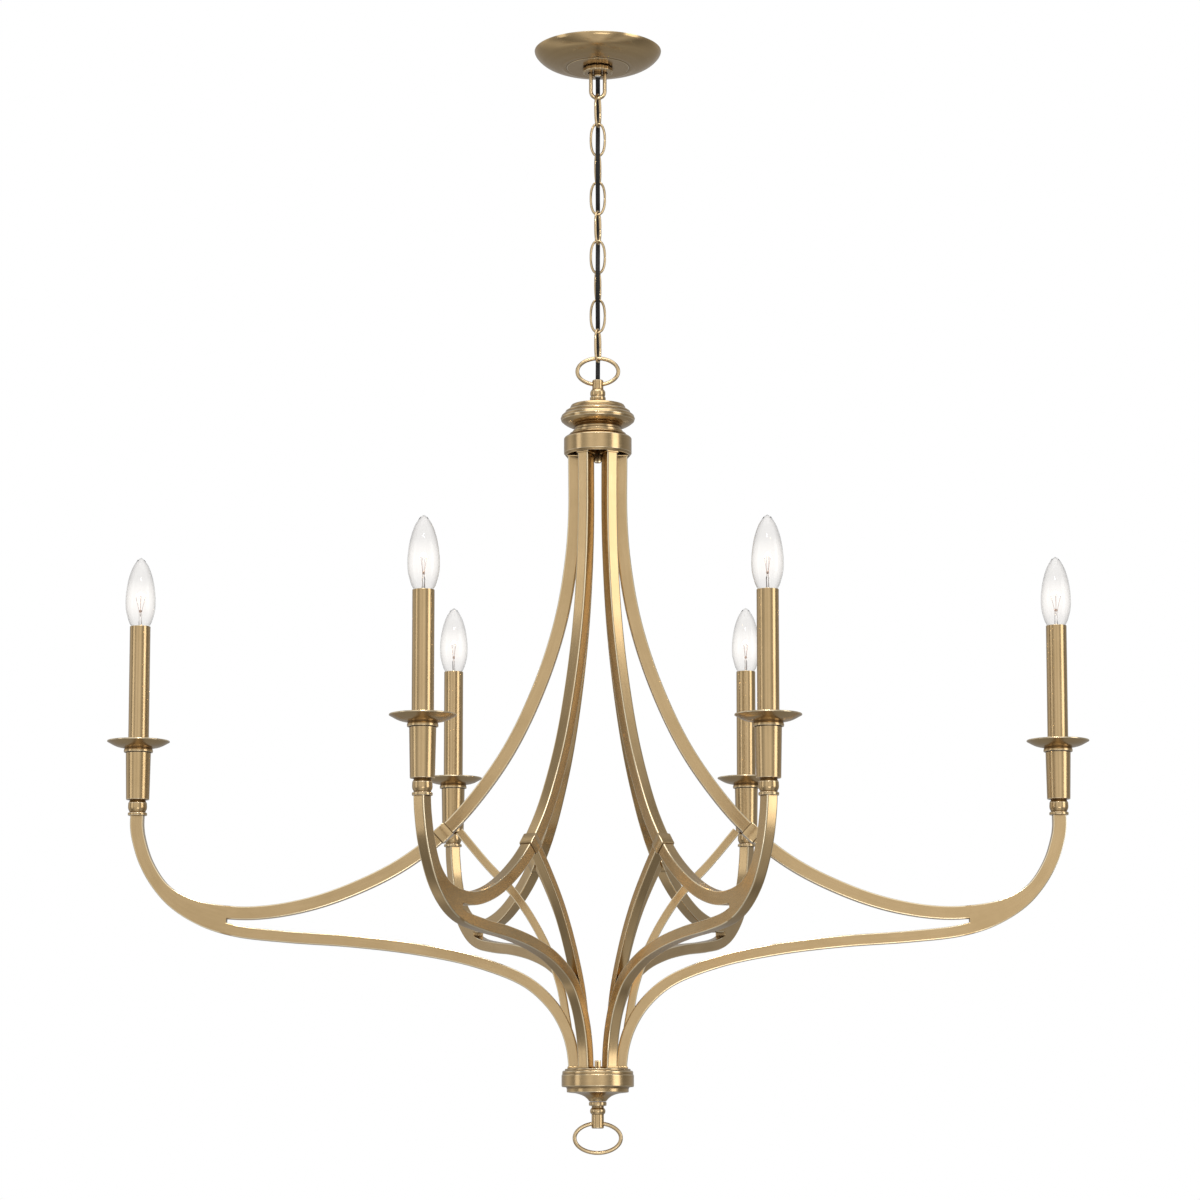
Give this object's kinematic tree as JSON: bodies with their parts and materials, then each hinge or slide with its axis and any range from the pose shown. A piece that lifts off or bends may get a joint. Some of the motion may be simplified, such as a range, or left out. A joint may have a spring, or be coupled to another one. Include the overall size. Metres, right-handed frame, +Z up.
{
  "type": "chandelier",
  "caption": "Candle chandelier on a chain: curved flat-bar arms sweep from an upper drum to a lower hub, each with a brace and an upturned candle with drip dish.",
  "frame": {"origin": "point on the ceiling plane where the crossbar hangs, on the vertical axis through chain and hubs", "axes": "+Z up towards the ceiling, X along the two long arms, Y across towards the back arms"},
  "size_m": [1.0466, 0.652, 1.1953],
  "materials": {
    "satin_brass": "satin, finely brushed along the bars",
    "zinc_steel": "plated",
    "socket_plastic": "matte",
    "black_cord": "woven sleeve",
    "clear_glass": "clear"
  },
  "bodies": {
    "ceiling_mount": {"ceiling_crossbar": "zinc_steel", "mounting_nipple": "zinc_steel", "canopy_loop": "satin_brass", "supply_cord": "black_cord"},
    "canopy": {"canopy": "satin_brass"},
    "collar": {"canopy_collar_ring": "satin_brass"},
    "link_1": {"chain_link_1": "satin_brass"},
    "link_2": {"chain_link_2": "satin_brass"},
    "link_3": {"chain_link_3": "satin_brass"},
    "link_4": {"chain_link_4": "satin_brass"},
    "link_5": {"chain_link_5": "satin_brass"},
    "link_6": {"chain_link_6": "satin_brass"},
    "link_7": {"chain_link_7": "satin_brass"},
    "link_8": {"chain_link_8": "satin_brass"},
    "link_9": {"chain_link_9": "satin_brass"},
    "top_ring": {"hanger_ring": "satin_brass"},
    "frame": {"ring_holder": "satin_brass", "upper_cap": "satin_brass", "upper_hub": "satin_brass", "upper_hub_nut": "satin_brass", "lower_hub": "satin_brass", "lower_hub_nut": "satin_brass", "finial_post": "satin_brass", "arm_1": "satin_brass", "candle_cup_1": "satin_brass", "drip_dish_1": "satin_brass", "candle_sleeve_1": "satin_brass", "lamp_socket_1": "socket_plastic", "arm_2": "satin_brass", "candle_cup_2": "satin_brass", "drip_dish_2": "satin_brass", "candle_sleeve_2": "satin_brass", "lamp_socket_2": "socket_plastic", "arm_3": "satin_brass", "candle_cup_3": "satin_brass", "drip_dish_3": "satin_brass", "candle_sleeve_3": "satin_brass", "lamp_socket_3": "socket_plastic", "arm_4": "satin_brass", "candle_cup_4": "satin_brass", "drip_dish_4": "satin_brass", "candle_sleeve_4": "satin_brass", "lamp_socket_4": "socket_plastic", "arm_5": "satin_brass", "candle_cup_5": "satin_brass", "drip_dish_5": "satin_brass", "candle_sleeve_5": "satin_brass", "lamp_socket_5": "socket_plastic", "arm_6": "satin_brass", "candle_cup_6": "satin_brass", "drip_dish_6": "satin_brass", "candle_sleeve_6": "satin_brass", "lamp_socket_6": "socket_plastic"},
    "end_ring": {"finial_ring": "satin_brass"},
    "lamp_1": {"bulb_1": "clear_glass"},
    "lamp_2": {"bulb_2": "clear_glass"},
    "lamp_3": {"bulb_3": "clear_glass"},
    "lamp_4": {"bulb_4": "clear_glass"},
    "lamp_5": {"bulb_5": "clear_glass"},
    "lamp_6": {"bulb_6": "clear_glass"}
  },
  "joints": [
    {"name": "canopy_slide", "type": "slide", "parent": "ceiling_mount", "child": "canopy", "axis": [0, 0, -1], "range_m": [0, 0.024]},
    {"name": "collar_turn", "type": "hinge", "parent": "canopy", "child": "collar", "pos_m": [0, 0, -0.022], "axis": [0, 0, 1], "continuous": true},
    {"name": "link_swing_1", "type": "hinge", "parent": "ceiling_mount", "child": "link_1", "pos_m": [0, 0, -0.0526], "axis": [1, 0, 0], "range_deg": [-12, 12], "deforming": ["supply_cord"]},
    {"name": "link_swing_2", "type": "hinge", "parent": "link_1", "child": "link_2", "pos_m": [0, 0, -0.08445], "axis": [0.342, 0.9397, 0], "range_deg": [-12, 12]},
    {"name": "link_swing_3", "type": "hinge", "parent": "link_2", "child": "link_3", "pos_m": [0, 0, -0.11705], "axis": [1, 0, 0], "range_deg": [-12, 12]},
    {"name": "link_swing_4", "type": "hinge", "parent": "link_3", "child": "link_4", "pos_m": [0, 0, -0.14965], "axis": [0.342, 0.9397, 0], "range_deg": [-12, 12]},
    {"name": "link_swing_5", "type": "hinge", "parent": "link_4", "child": "link_5", "pos_m": [0, 0, -0.18225], "axis": [1, 0, 0], "range_deg": [-12, 12]},
    {"name": "link_swing_6", "type": "hinge", "parent": "link_5", "child": "link_6", "pos_m": [0, 0, -0.21485], "axis": [0.342, 0.9397, 0], "range_deg": [-12, 12]},
    {"name": "link_swing_7", "type": "hinge", "parent": "link_6", "child": "link_7", "pos_m": [0, 0, -0.24745], "axis": [1, 0, 0], "range_deg": [-12, 12]},
    {"name": "link_swing_8", "type": "hinge", "parent": "link_7", "child": "link_8", "pos_m": [0, 0, -0.28005], "axis": [0.342, 0.9397, 0], "range_deg": [-12, 12]},
    {"name": "link_swing_9", "type": "hinge", "parent": "link_8", "child": "link_9", "pos_m": [0, 0, -0.31265], "axis": [1, 0, 0], "range_deg": [-12, 12]},
    {"name": "top_ring_swing", "type": "hinge", "parent": "link_9", "child": "top_ring", "pos_m": [0, 0, -0.34525], "axis": [0.342, 0.9397, 0], "range_deg": [-12, 12]},
    {"name": "frame_swing", "type": "hinge", "parent": "top_ring", "child": "frame", "pos_m": [0, 0, -0.3703], "axis": [1, 0, 0], "range_deg": [-10, 10]},
    {"name": "end_ring_swing", "type": "hinge", "parent": "frame", "child": "end_ring", "pos_m": [0, 0, -1.1625], "axis": [1, 0, 0], "range_deg": [-35, 35]},
    {"name": "lamp_draw_1", "type": "slide", "parent": "frame", "child": "lamp_1", "axis": [0, 0, 1], "range_m": [0, 0.034]},
    {"name": "lamp_draw_2", "type": "slide", "parent": "frame", "child": "lamp_2", "axis": [0, 0, 1], "range_m": [0, 0.034]},
    {"name": "lamp_draw_3", "type": "slide", "parent": "frame", "child": "lamp_3", "axis": [0, 0, 1], "range_m": [0, 0.034]},
    {"name": "lamp_draw_4", "type": "slide", "parent": "frame", "child": "lamp_4", "axis": [0, 0, 1], "range_m": [0, 0.034]},
    {"name": "lamp_draw_5", "type": "slide", "parent": "frame", "child": "lamp_5", "axis": [0, 0, 1], "range_m": [0, 0.034]},
    {"name": "lamp_draw_6", "type": "slide", "parent": "frame", "child": "lamp_6", "axis": [0, 0, 1], "range_m": [0, 0.034]}
  ]
}
